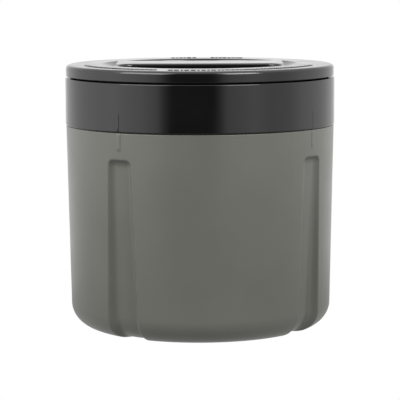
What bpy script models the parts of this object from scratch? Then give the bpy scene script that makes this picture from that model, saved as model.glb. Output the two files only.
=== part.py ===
"""Bear-resistant food canister: a fluted tub, a collar with a coarse internal thread, and a screw-on lid.

Metres, +Z up. The origin is at the middle of the base, on the surface that the canister stands on.
The front faces -Y, and the lid's grip bar lies along X.
"""

import math

import bmesh
import bpy

MM = 0.001
GAP = 0.3 * MM  # clearance left between pieces that touch

# Heights
COLLAR_BOTTOM = 168.0 * MM
COLLAR_TOP = 206.6 * MM
NECK_TOP = 186.0 * MM
RIM_UNDERSIDE = 207.9 * MM
RIM_TOP_OUTER = 217.0 * MM
RIM_TOP_INNER = 217.4 * MM
GRIP_TOP = 218.5 * MM

# Tub
BODY_TOP_RADIUS = 110.5 * MM
BODY_BASE_RADIUS = 107.1 * MM  # the tapered wall, carried on down to the base plane
BODY_LEAN = math.atan2(BODY_TOP_RADIUS - BODY_BASE_RADIUS, COLLAR_BOTTOM)
BASE_ROUNDING = 20.0 * MM
WALL = 3.5 * MM
FOOT_INNER_RADIUS = 70.0 * MM
FOOT_HEIGHT = 2.5 * MM
NECK_OUTER_RADIUS = 104.6 * MM
BORE_RADIUS = 101.0 * MM

# Flutes down the side of the tub
FLUTE_ANGLES = [math.radians(a) for a in (-125.5, -35.5, 54.5, 144.5)]
FLUTE_TOP = 146.3 * MM
FLUTE_TOP_WIDTH = 22.1 * MM
FLUTE_BASE_WIDTH = 31.1 * MM
FLUTE_TOP_DEPTH = 3.0 * MM
FLUTE_BASE_DEPTH = 7.0 * MM
FLUTE_CORNER = 5.0 * MM

# Collar
COLLAR_RADIUS = 111.0 * MM
COLLAR_SOCKET_RADIUS = 105.0 * MM
COLLAR_EDGE = 0.8 * MM

# Short upright ribs that show how the collar lines up with the flutes
TUB_RIB_BOTTOM = 152.6 * MM
TUB_RIB_WIDTH = 3.6 * MM
TUB_RIB_PROUD = 0.45 * MM
COLLAR_RIB_TOP = 184.3 * MM
COLLAR_RIB_WIDTH = 1.6 * MM
COLLAR_RIB_PROUD = 0.2 * MM

# Thread: four starts that share one lead
THREAD_STARTS = 4
THREAD_LEAD = 40.0 * MM
THREAD_ARC = math.radians(80.0)
THREAD_LOW = 193.0 * MM
THREAD_HEIGHT = 3.0 * MM
COLLAR_RIB_RADIUS = 98.0 * MM
LID_RIB_RADIUS = 100.4 * MM
LID_RIB_DROP = 3.5 * MM

# Lid
LID_RADIUS = 110.4 * MM
LID_ROUNDING = 3.2 * MM
RECESS_RADIUS = 78.0 * MM
POCKET_RADIUS = 76.0 * MM
POCKET_FLOOR = 194.5 * MM
POCKET_CORNER = 12.0 * MM
POCKET_WALL = 3.5 * MM
GRIP_HALF_LENGTH = 68.0 * MM
GRIP_HALF_WIDTH = 23.6 * MM
END_DIP_FLOOR = 212.0 * MM
SKIRT_INNER_RADIUS = 107.0 * MM
COVER_CEILING = 213.4 * MM
PLUG_RADIUS = 97.5 * MM
PLUG_BORE = 94.0 * MM
PLUG_BOTTOM = 188.0 * MM
PLUG_FLOOR_TOP = 191.0 * MM
PLUG_CHAMFER = 1.0 * MM
FLANGE_RADIUS = 106.5 * MM
FLANGE_UNDERSIDE = 210.0 * MM
SEAL_INNER_RADIUS = 99.0 * MM
SEAL_OUTER_RADIUS = 106.5 * MM

# Lock bolts, which slide out of the lid into notches in the collar
BOLT_WIDTH = 14.0 * MM
BOLT_LOW = 196.0 * MM
BOLT_HIGH = 201.0 * MM
BOLT_INNER_END = 61.0 * MM
BOLT_OUTER_END = 97.2 * MM
BOLT_EDGE = 0.8 * MM
BOLT_PATH_START = 68.0 * MM  # inside the finger pocket
TAB_LENGTH = 6.0 * MM
TAB_HIGH = 208.0 * MM
NOTCH_RADIUS = 105.5 * MM
KEEPER_WIDTH = 32.0 * MM
KEEPER_INNER_FACE = 81.5 * MM
KEEPER_OUTER_FACE = 91.5 * MM
KEEPER_HIGH = 204.5 * MM
KEEPER_SCREW_OFFSET = 11.8 * MM

# Countersunk screws
SCREW_COUNT = 8
SCREW_HEAD_RADIUS = 3.8 * MM
SCREW_SHANK_RADIUS = 1.9 * MM
SCREW_HEAD_DEPTH = 1.9 * MM
SOCKET_RADIUS = 1.3 * MM
SOCKET_DEPTH = 1.2 * MM
BOSS_RADIUS = 4.6 * MM
LID_SCREW_CIRCLE = 86.5 * MM
LID_SCREW_LENGTH = 14.0 * MM
COLLAR_SCREW_LENGTH = 8.0 * MM
COLLAR_SCREW_HEIGHT = 177.0 * MM
KEEPER_SCREW_LENGTH = 10.0 * MM

SEGMENTS = 48
SMALL_SEGMENTS = 8
REACH = 20.0 * MM  # how far a cutter runs past the material it cuts
ROOT = 1.0 * MM  # how far a rib or a boss is sunk into the wall that carries it


# ---------------------------------------------------------------- scene and collections

def clear_scene():
    for obj in list(bpy.data.objects):
        bpy.data.objects.remove(obj, do_unlink=True)


def make_collection(name):
    collection = bpy.data.collections.new(name)
    bpy.context.scene.collection.children.link(collection)
    return collection


def make_material(name, colour, roughness, metallic=0.0):
    material = bpy.data.materials.new(name)
    material.use_nodes = True
    shader = material.node_tree.nodes["Principled BSDF"]
    shader.inputs["Base Color"].default_value = (*colour, 1.0)
    shader.inputs["Roughness"].default_value = roughness
    shader.inputs["Metallic"].default_value = metallic
    return material


# ---------------------------------------------------------------- shapes

def place(name, mesh, collection, material=None):
    obj = bpy.data.objects.new(name, mesh)
    collection.objects.link(obj)
    if material is not None:
        mesh.materials.append(material)
    if collection.name == "cutters":
        obj.hide_render = True
        obj.display_type = "WIRE"
    return obj


def mesh_from_bmesh(name, bm):
    bmesh.ops.recalc_face_normals(bm, faces=bm.faces)
    mesh = bpy.data.meshes.new(name)
    bm.to_mesh(mesh)
    bm.free()
    return mesh


def turned(name, profile, collection, material=None, segments=SEGMENTS, closed=False):
    """A profile of (radius, height) points, top to bottom on its outer side, turned about Z."""
    count = len(profile)
    edges = [(i, i + 1) for i in range(count - 1)]
    if closed:
        edges.append((count - 1, 0))
    mesh = bpy.data.meshes.new(name)
    mesh.from_pydata([(radius, 0.0, height) for radius, height in profile], edges, [])
    obj = place(name, mesh, collection, material)
    screw = obj.modifiers.new("turn", "SCREW")
    screw.steps = segments
    screw.render_steps = segments
    screw.use_merge_vertices = True
    screw.merge_threshold = 0.00001
    return obj


def block(name, low, high, collection, material=None):
    bm = bmesh.new()
    bmesh.ops.create_cube(bm, size=1.0)
    size = [h - l for l, h in zip(low, high)]
    middle = [(h + l) / 2 for l, h in zip(low, high)]
    bmesh.ops.scale(bm, vec=size, verts=bm.verts)
    bmesh.ops.translate(bm, vec=middle, verts=bm.verts)
    return place(name, mesh_from_bmesh(name, bm), collection, material)


def flat_outline(name, points, low, high, collection):
    """A flat outline of (x, y) points, filled and extruded from low to high along its own Z."""
    curve = bpy.data.curves.new(name, "CURVE")
    curve.dimensions = "2D"
    curve.fill_mode = "BOTH"
    curve.extrude = (high - low) / 2
    spline = curve.splines.new("POLY")
    spline.points.add(len(points) - 1)
    for point, (x, y) in zip(spline.points, points):
        point.co = (x, y, 0.0, 1.0)
    spline.use_cyclic_u = True
    source = bpy.data.objects.new(name + "_outline", curve)
    bpy.context.scene.collection.objects.link(source)
    bpy.context.view_layer.update()
    evaluated = source.evaluated_get(bpy.context.evaluated_depsgraph_get())
    mesh = bpy.data.meshes.new_from_object(evaluated)
    bm = bmesh.new()
    bm.from_mesh(mesh)
    bmesh.ops.remove_doubles(bm, verts=bm.verts, dist=0.00001)
    bmesh.ops.translate(bm, vec=(0.0, 0.0, (high + low) / 2), verts=bm.verts)
    bmesh.ops.recalc_face_normals(bm, faces=bm.faces)
    bm.to_mesh(mesh)
    bm.free()
    bpy.data.objects.remove(source, do_unlink=True)
    return place(name, mesh, collection)


def joined(name, objects, collection):
    """One object from several separate solids, each kept where it stands."""
    bpy.context.view_layer.update()
    depsgraph = bpy.context.evaluated_depsgraph_get()
    bm = bmesh.new()
    for obj in objects:
        mesh = bpy.data.meshes.new_from_object(obj.evaluated_get(depsgraph))
        mesh.transform(obj.matrix_world)
        bm.from_mesh(mesh)
        bpy.data.meshes.remove(mesh)
        bpy.data.objects.remove(obj, do_unlink=True)
    mesh = bpy.data.meshes.new(name)
    bm.to_mesh(mesh)
    bm.free()
    return place(name, mesh, collection)


def combine(target, tool, operation):
    modifier = target.modifiers.new(tool.name, "BOOLEAN")
    modifier.operation = operation
    modifier.object = tool
    modifier.solver = "EXACT"


def shade_round(obj):
    """Shade the evaluated surface smooth, with edges sharper than 30 degrees kept crisp."""
    bpy.context.view_layer.update()
    evaluated = obj.evaluated_get(bpy.context.evaluated_depsgraph_get())
    mesh = bpy.data.meshes.new_from_object(evaluated)
    obj.modifiers.clear()
    obj.data = mesh
    mesh.name = obj.name
    mesh.shade_smooth()
    mesh.set_sharp_from_angle(angle=math.radians(30.0))


def arc(centre_r, centre_z, radius, start_deg, end_deg, steps):
    points = []
    for i in range(steps + 1):
        angle = math.radians(start_deg + (end_deg - start_deg) * i / steps)
        points.append((centre_r + radius * math.cos(angle), centre_z + radius * math.sin(angle)))
    return points


# ---------------------------------------------------------------- tub

def wall_radius(height, inset=0.0):
    """Radius of the tub's tapered wall at a height, or of a surface set that far inside it."""
    taper = (BODY_TOP_RADIUS - BODY_BASE_RADIUS) / COLLAR_BOTTOM
    return BODY_BASE_RADIUS + taper * height - inset * math.hypot(1.0, taper)


def tub_profile(top, floor, inset, rounding):
    """The wall and the rounding at its foot, from the top of the wall down to the floor."""
    centre_z = floor + rounding
    centre_r = wall_radius(centre_z, inset + rounding)
    start = -math.degrees(BODY_LEAN)
    return [(wall_radius(top, inset), top)] + arc(centre_r, centre_z, rounding, start, -90.0, 7)


def flute_half_width(height):
    """Half the width of a flute, which widens evenly towards the base."""
    return (FLUTE_BASE_WIDTH - (FLUTE_BASE_WIDTH - FLUTE_TOP_WIDTH) * height / FLUTE_TOP) / 2


def flute_depth(height):
    """Depth of a flute, which deepens evenly towards the base."""
    return FLUTE_BASE_DEPTH - (FLUTE_BASE_DEPTH - FLUTE_TOP_DEPTH) * height / FLUTE_TOP


def flute_block(angle, grow, collection):
    """A tapered block with rounded top corners that runs right through the wall."""
    top = FLUTE_TOP + grow
    corner = FLUTE_CORNER + grow
    corner_x = FLUTE_TOP_WIDTH / 2 + grow - corner
    right = [(corner_x + corner * math.cos(a), top - corner + corner * math.sin(a))
             for a in (math.radians(d) for d in (0.0, 30.0, 60.0, 90.0))]
    right = [(flute_half_width(-REACH) + grow, -REACH)] + right
    left = [(-x, y) for x, y in reversed(right)]
    cutter = flat_outline("flute", right + left, 0.0, 3 * REACH, collection)
    cutter.rotation_euler = (math.pi / 2, 0.0, angle + math.pi / 2)
    inner = wall_radius(0.0) - 2 * REACH
    cutter.location = (inner * math.cos(angle), inner * math.sin(angle), 0.0)
    return cutter


def press_flutes(target, profile, grow, cutters):
    """Cut the flutes into a turned solid whose side has this profile, pulled in by their depth."""
    pulled = [(radius - flute_depth(height), height) for radius, height in profile]
    core = [(0.0, pulled[0][1])] + pulled + [(pulled[-1][0], -2 * REACH), (0.0, -2 * REACH)]
    blocks = joined(f"{target.name}_flutes", [flute_block(a, grow, cutters) for a in FLUTE_ANGLES], cutters)
    combine(blocks, turned(f"{target.name}_flute_core", core, cutters), "DIFFERENCE")
    combine(target, blocks, "DIFFERENCE")


def align_ribs(name, radius, lean, low, high, width, proud, cutters):
    """A low rib above each flute, on a wall that has this radius at the base and leans out."""
    ribs = []
    for angle in FLUTE_ANGLES:
        rib = block("rib", (-ROOT, -width / 2, low), (proud, width / 2, high), cutters)
        rib.location = (radius * math.cos(angle), radius * math.sin(angle), 0.0)
        rib.rotation_euler = (0.0, lean, angle)
        ribs.append(rib)
    return joined(name, ribs, cutters)


def make_body_shell(parts, cutters, plastic):
    shoulder = COLLAR_BOTTOM - GAP
    outline = [(0.0, NECK_TOP), (NECK_OUTER_RADIUS, NECK_TOP), (NECK_OUTER_RADIUS, shoulder)]
    side = tub_profile(shoulder, 0.0, 0.0, BASE_ROUNDING)
    outline += side
    outline += [(FOOT_INNER_RADIUS + FOOT_HEIGHT, 0.0), (FOOT_INNER_RADIUS, FOOT_HEIGHT)]
    outline += [(0.0, FOOT_HEIGHT)]
    shell = turned("body_shell", outline, parts, plastic)

    press_flutes(shell, side, 0.0, cutters)

    ceiling = shoulder - 2 * WALL
    floor = FOOT_HEIGHT + WALL
    hollow = [(0.0, NECK_TOP + REACH), (BORE_RADIUS, NECK_TOP + REACH), (BORE_RADIUS, ceiling + WALL)]
    inner_side = tub_profile(ceiling, floor, WALL, BASE_ROUNDING - WALL)
    hollow += inner_side
    hollow += [(0.0, floor)]
    cavity = turned("body_cavity", hollow, cutters)
    press_flutes(cavity, inner_side, WALL, cutters)
    combine(shell, cavity, "DIFFERENCE")

    ribs = align_ribs("body_ribs", wall_radius(0.0), BODY_LEAN, TUB_RIB_BOTTOM, shoulder,
                      TUB_RIB_WIDTH, TUB_RIB_PROUD, cutters)
    combine(shell, ribs, "UNION")
    combine(shell, collar_screw_holes("body_screw_holes", cutters), "DIFFERENCE")
    shade_round(shell)


# ---------------------------------------------------------------- thread

def helical_rib(name, inner, outer, low, start, collection):
    """A square rib that climbs along the thread's lead over one start's arc."""
    steps = 10
    bm = bmesh.new()
    corners = [(inner, low), (outer, low), (outer, low + THREAD_HEIGHT), (inner, low + THREAD_HEIGHT)]
    verts = [bm.verts.new((r * math.cos(start), r * math.sin(start), z)) for r, z in corners]
    bm.faces.new(verts)
    climb = THREAD_LEAD * THREAD_ARC / (2 * math.pi)
    bmesh.ops.spin(bm, geom=bm.verts[:] + bm.edges[:] + bm.faces[:], axis=(0.0, 0.0, 1.0),
                   cent=(0.0, 0.0, 0.0), angle=THREAD_ARC, steps=steps,
                   dvec=(0.0, 0.0, climb / steps))
    return place(name, mesh_from_bmesh(name, bm), collection)


def thread_ribs(name, inner, outer, low, collection):
    """The ribs of every start, with a gap between them at the front and at the back."""
    ribs = []
    for i in range(THREAD_STARTS):
        middle = 2 * math.pi * (i + 0.5) / THREAD_STARTS
        ribs.append(helical_rib("start", inner, outer, low, middle - THREAD_ARC / 2, collection))
    return joined(name, ribs, collection)


# ---------------------------------------------------------------- screws

def screw_profile(length, grow):
    """A countersunk screw with its head's face at height 0 and its shank pointing up."""
    head = SCREW_HEAD_RADIUS + grow
    shank = SCREW_SHANK_RADIUS + grow
    profile = [(0.0, length + grow), (shank, length + grow), (shank, SCREW_HEAD_DEPTH + grow)]
    if grow > 0:
        return profile + [(head, 0.0), (head, -REACH), (0.0, -REACH)]
    return profile + [(head, 0.0), (SOCKET_RADIUS, 0.0), (SOCKET_RADIUS, SOCKET_DEPTH), (0.0, SOCKET_DEPTH)]


def set_of_screws(name, length, grow, spots, collection, material=None):
    """One screw for each (location, rotation) spot. Each stays an object of its own."""
    screws = []
    for i, (location, rotation) in enumerate(spots):
        screw = turned(f"{name}_{i + 1}", screw_profile(length, grow), collection, material, SMALL_SEGMENTS)
        screw.location = location
        screw.rotation_euler = rotation
        screws.append(screw)
    return screws


def around(count, radius, height, tilt, first=0.5):
    """Spots on a circle: tilt 0 points a screw up, and pi/2 points it away from the axis."""
    spots = []
    for i in range(count):
        angle = 2 * math.pi * (i + first) / count
        location = (radius * math.cos(angle), radius * math.sin(angle), height)
        spots.append((location, (0.0, tilt, angle)))
    return spots


def collar_screw_spots():
    return around(SCREW_COUNT, BORE_RADIUS, COLLAR_SCREW_HEIGHT, math.pi / 2)


def lid_screw_spots():
    return around(SCREW_COUNT, LID_SCREW_CIRCLE, PLUG_BOTTOM, 0.0)


def keeper_screw_spots():
    middle = (KEEPER_INNER_FACE + KEEPER_OUTER_FACE) / 2
    spots = [(x, y) for y in (-middle, middle) for x in (-KEEPER_SCREW_OFFSET, KEEPER_SCREW_OFFSET)]
    return [((x, y, PLUG_BOTTOM), (0.0, 0.0, 0.0)) for x, y in spots]


def screw_holes(name, length, spots, cutters):
    return joined(name, set_of_screws(name, length, GAP, spots, cutters), cutters)


def collar_screw_holes(name, cutters):
    return screw_holes(name, COLLAR_SCREW_LENGTH, collar_screw_spots(), cutters)


def lid_screw_holes(name, cutters):
    return screw_holes(name, LID_SCREW_LENGTH, lid_screw_spots(), cutters)


def keeper_screw_holes(name, cutters):
    return screw_holes(name, KEEPER_SCREW_LENGTH, keeper_screw_spots(), cutters)


# ---------------------------------------------------------------- collar

def make_collar_ring(parts, cutters, plastic):
    edge = COLLAR_EDGE
    outline = [
        (BORE_RADIUS, COLLAR_TOP), (COLLAR_RADIUS - edge, COLLAR_TOP), (COLLAR_RADIUS, COLLAR_TOP - edge),
        (COLLAR_RADIUS, COLLAR_BOTTOM + edge), (COLLAR_RADIUS - edge, COLLAR_BOTTOM),
        (COLLAR_SOCKET_RADIUS, COLLAR_BOTTOM), (COLLAR_SOCKET_RADIUS, NECK_TOP + GAP),
        (BORE_RADIUS, NECK_TOP + GAP),
    ]
    collar = turned("collar_ring", outline, parts, plastic, closed=True)
    ribs = thread_ribs("collar_thread", COLLAR_RIB_RADIUS, BORE_RADIUS + ROOT, THREAD_LOW, cutters)
    combine(collar, ribs, "UNION")
    marks = align_ribs("collar_ribs", COLLAR_RADIUS, 0.0, COLLAR_BOTTOM + edge, COLLAR_RIB_TOP,
                       COLLAR_RIB_WIDTH, COLLAR_RIB_PROUD, cutters)
    combine(collar, marks, "UNION")
    combine(collar, bolt_path("bolt_notches", NOTCH_RADIUS, cutters), "DIFFERENCE")
    combine(collar, collar_screw_holes("collar_screw_holes", cutters), "DIFFERENCE")
    shade_round(collar)


def bolt_path(name, reach, cutters):
    """The room that both lock bolts need, from the pockets out to a radius."""
    width = BOLT_WIDTH / 2 + GAP
    low, high = BOLT_LOW - GAP, BOLT_HIGH + GAP
    front = block("front", (-width, -reach, low), (width, -BOLT_PATH_START, high), cutters)
    back = block("back", (-width, BOLT_PATH_START, low), (width, reach, high), cutters)
    return joined(name, [front, back], cutters)


# ---------------------------------------------------------------- lid

def pocket_outline():
    """A D: an arc near the recess's edge, a straight side along the grip, and rounded corners."""
    corner = POCKET_CORNER
    away = GRIP_HALF_WIDTH + corner
    corner_x = math.sqrt((POCKET_RADIUS - corner) ** 2 - away ** 2)
    turn = math.atan2(-away, corner_x)
    half = []
    for i in range(9):
        angle = -math.pi / 2 + (turn + math.pi / 2) * i / 8
        half.append((POCKET_RADIUS * math.cos(angle), POCKET_RADIUS * math.sin(angle)))
    for i in range(1, 6):
        angle = turn + (math.pi / 2 - turn) * i / 5
        half.append((corner_x + corner * math.cos(angle), -away + corner * math.sin(angle)))
    return half + [(-x, y) for x, y in reversed(half[1:])]


def pocket_cutters(cutters):
    front = pocket_outline()
    back = [(-x, -y) for x, y in front]
    high = GRIP_TOP + REACH
    both = [flat_outline("pocket", side, POCKET_FLOOR, high, cutters) for side in (front, back)]
    return joined("finger_pockets", both, cutters)


def end_dips(cutters):
    """Shallow hollows between the ends of the grip and the rim, which slope up to the rim."""
    width = RECESS_RADIUS - GRIP_HALF_LENGTH
    slope = math.atan2(RIM_TOP_INNER - END_DIP_FLOOR, width)
    wedges = []
    for turn in (0.0, math.pi):
        disc = [(0.0, GRIP_TOP + REACH), (RECESS_RADIUS, GRIP_TOP + REACH),
                (RECESS_RADIUS, END_DIP_FLOOR - REACH), (0.0, END_DIP_FLOOR - REACH)]
        dip = turned("dip", disc, cutters)
        ramp = block("ramp", (-REACH, -POCKET_RADIUS, -3 * REACH), (3 * REACH, POCKET_RADIUS, 0.0), cutters)
        ramp.rotation_euler = (0.0, -slope, turn)
        ramp.location = (GRIP_HALF_LENGTH * math.cos(turn), 0.0, END_DIP_FLOOR)
        inside = block("inside", (-2 * RECESS_RADIUS, -2 * RECESS_RADIUS, 0.0),
                       (GRIP_HALF_LENGTH, 2 * RECESS_RADIUS, 2 * GRIP_TOP), cutters)
        inside.rotation_euler = (0.0, 0.0, turn)
        combine(dip, ramp, "DIFFERENCE")
        combine(dip, inside, "DIFFERENCE")
        wedges.append(joined("wedge", [dip], cutters))
        bpy.data.objects.remove(ramp, do_unlink=True)
        bpy.data.objects.remove(inside, do_unlink=True)
    return joined("end_dips", wedges, cutters)


def make_lid_cover(parts, cutters, plastic):
    bowl = POCKET_RADIUS + POCKET_WALL
    outline = [(0.0, RIM_TOP_INNER), (RECESS_RADIUS, RIM_TOP_INNER)]
    outline += [(LID_RADIUS - LID_ROUNDING, RIM_TOP_OUTER)]
    outline += arc(LID_RADIUS - LID_ROUNDING, RIM_TOP_OUTER - LID_ROUNDING, LID_ROUNDING, 60.0, 0.0, 2)
    outline += [
        (LID_RADIUS, RIM_UNDERSIDE), (SKIRT_INNER_RADIUS, RIM_UNDERSIDE),
        (SKIRT_INNER_RADIUS, COVER_CEILING), (bowl, COVER_CEILING),
        (bowl, PLUG_FLOOR_TOP + GAP), (0.0, PLUG_FLOOR_TOP + GAP),
    ]
    cover = turned("lid_cover", outline, parts, plastic)

    raised = block("grip_land", (-GRIP_HALF_LENGTH, -GRIP_HALF_WIDTH - ROOT, RIM_TOP_INNER - ROOT),
                   (GRIP_HALF_LENGTH, GRIP_HALF_WIDTH + ROOT, GRIP_TOP), cutters)
    combine(cover, raised, "UNION")
    combine(cover, pocket_cutters(cutters), "DIFFERENCE")
    combine(cover, end_dips(cutters), "DIFFERENCE")

    inside = GRIP_HALF_WIDTH - POCKET_WALL
    core = block("grip_core", (-bowl - REACH, -inside, 0.0),
                 (bowl + REACH, inside, END_DIP_FLOOR - POCKET_WALL), cutters)
    combine(cover, core, "DIFFERENCE")

    bosses = []
    for location, _ in lid_screw_spots():
        boss = turned("boss", [(0.0, COVER_CEILING + ROOT), (BOSS_RADIUS, COVER_CEILING + ROOT),
                               (BOSS_RADIUS, PLUG_FLOOR_TOP + GAP), (0.0, PLUG_FLOOR_TOP + GAP)],
                      cutters, segments=SMALL_SEGMENTS)
        boss.location = (location[0], location[1], 0.0)
        bosses.append(boss)
    combine(cover, joined("screw_bosses", bosses, cutters), "UNION")
    combine(cover, lid_screw_holes("cover_screw_holes", cutters), "DIFFERENCE")
    combine(cover, bolt_path("cover_bolt_slots", PLUG_BORE, cutters), "DIFFERENCE")
    shade_round(cover)


def make_lid_base(parts, cutters, plastic):
    outline = [
        (PLUG_BORE, COVER_CEILING - GAP), (FLANGE_RADIUS, COVER_CEILING - GAP),
        (FLANGE_RADIUS, FLANGE_UNDERSIDE), (PLUG_RADIUS, FLANGE_UNDERSIDE),
        (PLUG_RADIUS, PLUG_BOTTOM + PLUG_CHAMFER), (PLUG_RADIUS - PLUG_CHAMFER, PLUG_BOTTOM),
        (0.0, PLUG_BOTTOM),
    ]
    outline = [(0.0, PLUG_FLOOR_TOP), (PLUG_BORE, PLUG_FLOOR_TOP)] + outline
    base = turned("lid_base", outline, parts, plastic)
    ribs = thread_ribs("lid_thread", PLUG_RADIUS - ROOT, LID_RIB_RADIUS, THREAD_LOW - LID_RIB_DROP, cutters)
    combine(base, ribs, "UNION")
    combine(base, lid_screw_holes("base_screw_holes", cutters), "DIFFERENCE")
    combine(base, keeper_screw_holes("base_keeper_holes", cutters), "DIFFERENCE")
    combine(base, bolt_path("base_bolt_slots", LID_RIB_RADIUS, cutters), "DIFFERENCE")
    shade_round(base)


def make_lid_seal(parts, rubber):
    low, high = COLLAR_TOP + GAP, FLANGE_UNDERSIDE - GAP
    outline = [(SEAL_INNER_RADIUS, high), (SEAL_OUTER_RADIUS, high),
               (SEAL_OUTER_RADIUS, low), (SEAL_INNER_RADIUS, low)]
    seal = turned("lid_seal", outline, parts, rubber, closed=True)
    shade_round(seal)


# ---------------------------------------------------------------- locks

def make_lock_bolt(side, parts, cutters, plastic):
    """A flat bolt with a thumb tab at its inner end. Its origin is on the line that it slides along."""
    turn = 0.0 if side == "front" else math.pi
    low, high = BOLT_LOW, BOLT_HIGH
    bar = block(f"lock_bolt_{side}", (-BOLT_WIDTH / 2, -BOLT_OUTER_END, low),
                (BOLT_WIDTH / 2, -BOLT_INNER_END, high), parts, plastic)
    tab = block(f"thumb_tab_{side}", (-BOLT_WIDTH / 2, -BOLT_INNER_END - TAB_LENGTH, low),
                (BOLT_WIDTH / 2, -BOLT_INNER_END, TAB_HIGH), cutters)
    for obj in (bar, tab):
        obj.rotation_euler = (0.0, 0.0, turn)
    combine(bar, tab, "UNION")
    rounding = bar.modifiers.new("edges", "BEVEL")
    rounding.width = BOLT_EDGE
    rounding.segments = 1
    rounding.limit_method = "ANGLE"


def make_lock_keeper(side, parts, cutters, plastic):
    """A guide that holds a bolt down on the lid's floor."""
    turn = 0.0 if side == "front" else math.pi
    keeper = block(f"lock_keeper_{side}", (-KEEPER_WIDTH / 2, -KEEPER_OUTER_FACE, PLUG_FLOOR_TOP + GAP),
                   (KEEPER_WIDTH / 2, -KEEPER_INNER_FACE, KEEPER_HIGH), parts, plastic)
    keeper.rotation_euler = (0.0, 0.0, turn)
    combine(keeper, bolt_path(f"{side}_channel", PLUG_BORE, cutters), "DIFFERENCE")
    combine(keeper, keeper_screw_holes(f"{side}_keeper_holes", cutters), "DIFFERENCE")


# ---------------------------------------------------------------- assembly

def main():
    clear_scene()
    parts = make_collection("bear_canister")
    cutters = make_collection("cutters")
    olive = make_material("olive_plastic", (0.135, 0.138, 0.12), 0.45)
    black = make_material("black_plastic", (0.012, 0.012, 0.012), 0.3)
    inner = make_material("inner_black_plastic", (0.02, 0.02, 0.02), 0.5)
    rubber = make_material("seal_rubber", (0.01, 0.01, 0.01), 0.8)
    steel = make_material("screw_steel", (0.55, 0.55, 0.54), 0.35, 1.0)

    make_body_shell(parts, cutters, olive)
    make_collar_ring(parts, cutters, black)
    make_lid_cover(parts, cutters, black)
    make_lid_base(parts, cutters, inner)
    make_lid_seal(parts, rubber)
    for side in ("front", "back"):
        make_lock_bolt(side, parts, cutters, inner)
        make_lock_keeper(side, parts, cutters, inner)
    set_of_screws("collar_screw", COLLAR_SCREW_LENGTH, 0.0, collar_screw_spots(), parts, steel)
    set_of_screws("lid_screw", LID_SCREW_LENGTH, 0.0, lid_screw_spots(), parts, steel)
    set_of_screws("keeper_screw", KEEPER_SCREW_LENGTH, 0.0, keeper_screw_spots(), parts, steel)


main()
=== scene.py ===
"""The looks of the bear canister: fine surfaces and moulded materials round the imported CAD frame.

Shapes are worked out in millimetres and become metres where a mesh is made. +Z is up, -Y is the front.
"""

import math
import random

import bmesh
import bpy
import numpy as np
from mathutils import Matrix, Vector
from mathutils.geometry import delaunay_2d_cdt


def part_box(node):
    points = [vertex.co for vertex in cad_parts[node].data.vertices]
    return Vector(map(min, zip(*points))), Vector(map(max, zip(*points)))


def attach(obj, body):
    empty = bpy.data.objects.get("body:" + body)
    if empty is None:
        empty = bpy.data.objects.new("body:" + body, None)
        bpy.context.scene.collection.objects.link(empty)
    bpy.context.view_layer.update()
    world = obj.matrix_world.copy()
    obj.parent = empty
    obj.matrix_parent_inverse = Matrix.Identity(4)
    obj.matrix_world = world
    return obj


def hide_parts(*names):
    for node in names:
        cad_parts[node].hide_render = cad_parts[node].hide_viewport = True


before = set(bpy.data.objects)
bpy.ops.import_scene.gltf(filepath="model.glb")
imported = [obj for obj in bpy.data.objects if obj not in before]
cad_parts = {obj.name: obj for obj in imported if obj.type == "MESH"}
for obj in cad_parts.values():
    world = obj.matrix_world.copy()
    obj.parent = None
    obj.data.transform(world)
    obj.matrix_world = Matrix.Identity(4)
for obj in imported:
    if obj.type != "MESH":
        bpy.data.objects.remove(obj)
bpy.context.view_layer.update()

MM = 0.001
GAP = 0.3  # the play left between two pieces
QUARTER = math.pi / 2


def box_mm(node):
    """The low and the high corner of a CAD node's box, in millimetres."""
    low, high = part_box(node)
    return low / MM, high / MM


TUB_HIGH = box_mm("body_shell")[1]
COLLAR_LOW, COLLAR_HIGH = box_mm("collar_ring")
LID_LOW, LID_HIGH = box_mm("lid_cover")
PLUG_LOW, PLUG_HIGH = box_mm("lid_base")
SEAL_LOW, SEAL_HIGH = box_mm("lid_seal")
BOLT_LOW, BOLT_HIGH = box_mm("lock_bolt_front")
KEEPER_LOW, KEEPER_HIGH = box_mm("lock_keeper_front")

# Tub
SHOULDER = COLLAR_LOW.z - GAP
TUB_TOP_RADIUS = TUB_HIGH.x
TUB_TAPER = 3.4 / 168.0  # radius lost per millimetre down the wall
BASE_ROUNDING = 20.0
FOOT_FLATTENING = 1.1  # the rounding's width over its height
SHOULDER_ROUNDING = 0.7
WALL = 3.5
FOOT_INNER_RADIUS = 70.0
FOOT_HEIGHT = 2.5
NECK_RADIUS = 104.6
BORE_RADIUS = 101.0
SOCKET_RADIUS = 105.0

# Flutes
FLUTE_ANGLES = [math.radians(a) for a in (-125.5, -35.5, 54.5, 144.5)]
FLUTE_TOP = 146.3
FLUTE_TOP_WIDTH = 22.1
FLUTE_BASE_WIDTH = 31.1
FLUTE_TOP_DEPTH = 3.0
FLUTE_BASE_DEPTH = 7.0
FLUTE_CORNER = 5.0
FLUTE_RUN = 7.0  # from the lip of a flute to its floor
FLUTE_LIP = 0.9  # half the width over which the lip is rounded
FLUTE_INNERMOST = 80.0  # the flutes reach no nearer to the axis than this on the base

# The tub's grid: offsets of columns from a flute's middle, and spans of rows as (from, to, step)
MIDDLE_COLUMN = 0.4
FLOOR_COLUMN = 2.6
OUTER_COLUMN = 26.0
WALL_ROWS = (24.0, 138.0, 4.0)
FLUTE_END_ROWS = (138.0, 147.4, 0.35)
UPPER_ROWS = [150.0, 158.0, 162.0]
INNER_WALL_ROWS = (26.0, 138.0, 8.0)
INNER_END_ROWS = (138.0, 152.0, 1.0)
COLLAR_ROWS = [178.0, 190.0, 198.0]

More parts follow.
